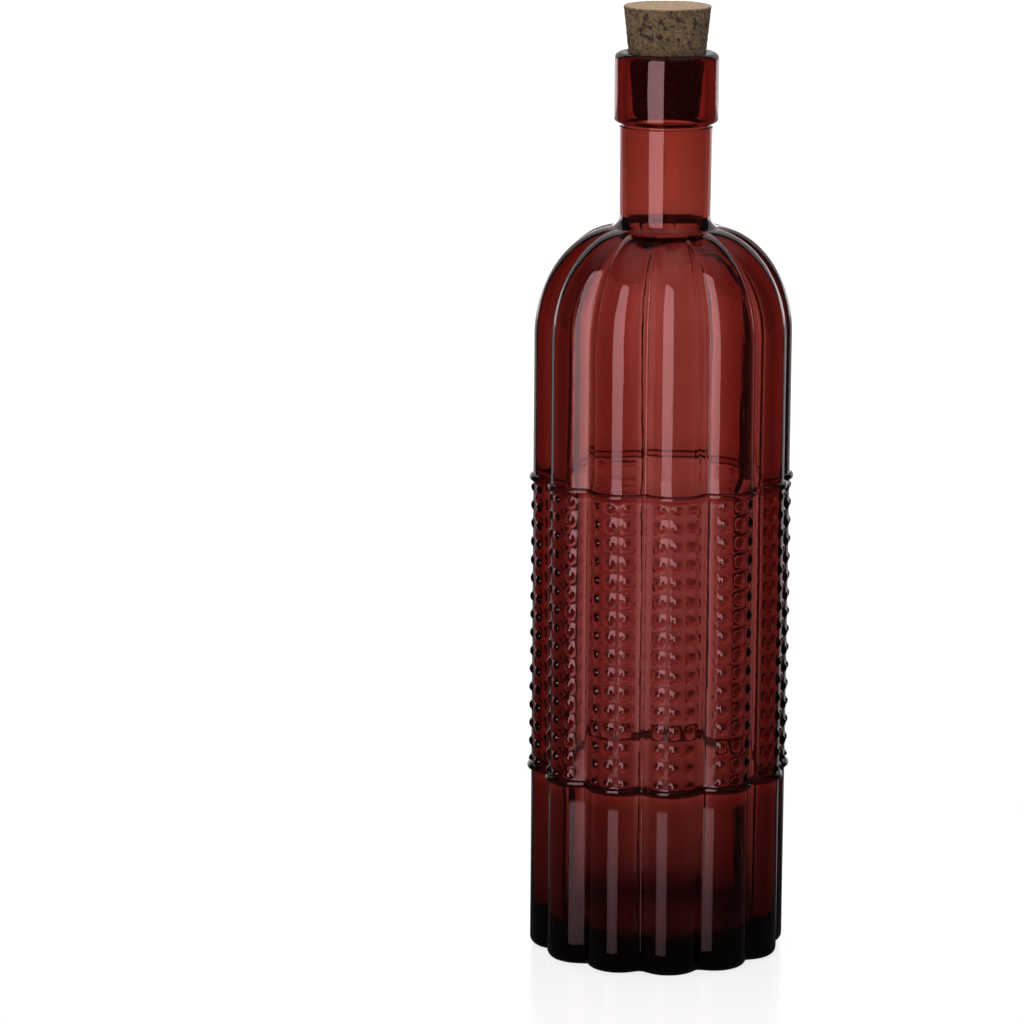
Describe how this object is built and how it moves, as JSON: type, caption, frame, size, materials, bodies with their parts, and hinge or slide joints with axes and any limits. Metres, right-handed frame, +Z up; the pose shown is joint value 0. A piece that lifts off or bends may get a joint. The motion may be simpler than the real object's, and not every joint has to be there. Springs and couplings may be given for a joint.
{
  "type": "oil bottle",
  "caption": "Tall fluted glass oil bottle with a domed shoulder, raised ridges, a hobnail panel and a banded neck, closed with a tapered cork.",
  "frame": {"origin": "centre of the foot, on the surface that the bottle stands on", "axes": "+Z up along the bottle's axis; a lobe faces -Y, the front, and another +X"},
  "size_m": [0.0824, 0.0824, 0.2964],
  "materials": {
    "glass": "clear, glossy, dark red",
    "cork": "matt, pressed grains with dark flecks"
  },
  "bodies": {
    "root": {"glass_bottle": "glass", "cork_stopper": "cork"}
  },
  "joints": []
}
